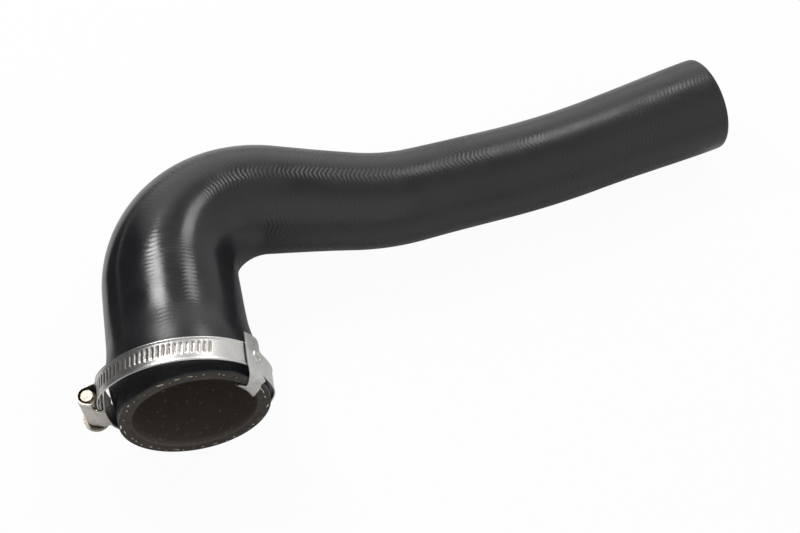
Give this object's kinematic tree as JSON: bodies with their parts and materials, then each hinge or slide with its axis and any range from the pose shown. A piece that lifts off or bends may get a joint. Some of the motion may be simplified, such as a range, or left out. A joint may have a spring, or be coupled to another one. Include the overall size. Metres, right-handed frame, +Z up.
{
  "type": "charge air hose",
  "caption": "Moulded rubber charge air hose with one sharp and one gentle bend, a worm-drive clamp and a retaining clip on its wide end.",
  "frame": {"origin": "middle of the footprint, on the floor that the clamp band and the outlet lip rest on", "axes": "+Z up as it lies; the wide inlet opens towards -Y; the long run leads towards +X to the outlet"},
  "size_m": [0.3686, 0.1632, 0.0875],
  "materials": {
    "black_rubber": "satin black",
    "stainless_band": "bright rolled stainless",
    "stainless_housing": "satin stainless",
    "zinc_plated_screw": "satin zinc plate",
    "spring_steel_clip": "satin grey"
  },
  "bodies": {
    "hose_assembly": {"hose": "black_rubber", "clamp_band": "stainless_band", "clamp_housing": "stainless_housing", "retaining_clip": "spring_steel_clip"},
    "screw": {"worm_screw": "zinc_plated_screw"}
  },
  "joints": [
    {"name": "screw_turn", "type": "hinge", "parent": "hose_assembly", "child": "screw", "pos_m": [-0.17835, -0.06455, 0.04159], "axis": [-0.0513, -0.0682, 0.9964], "continuous": true}
  ]
}
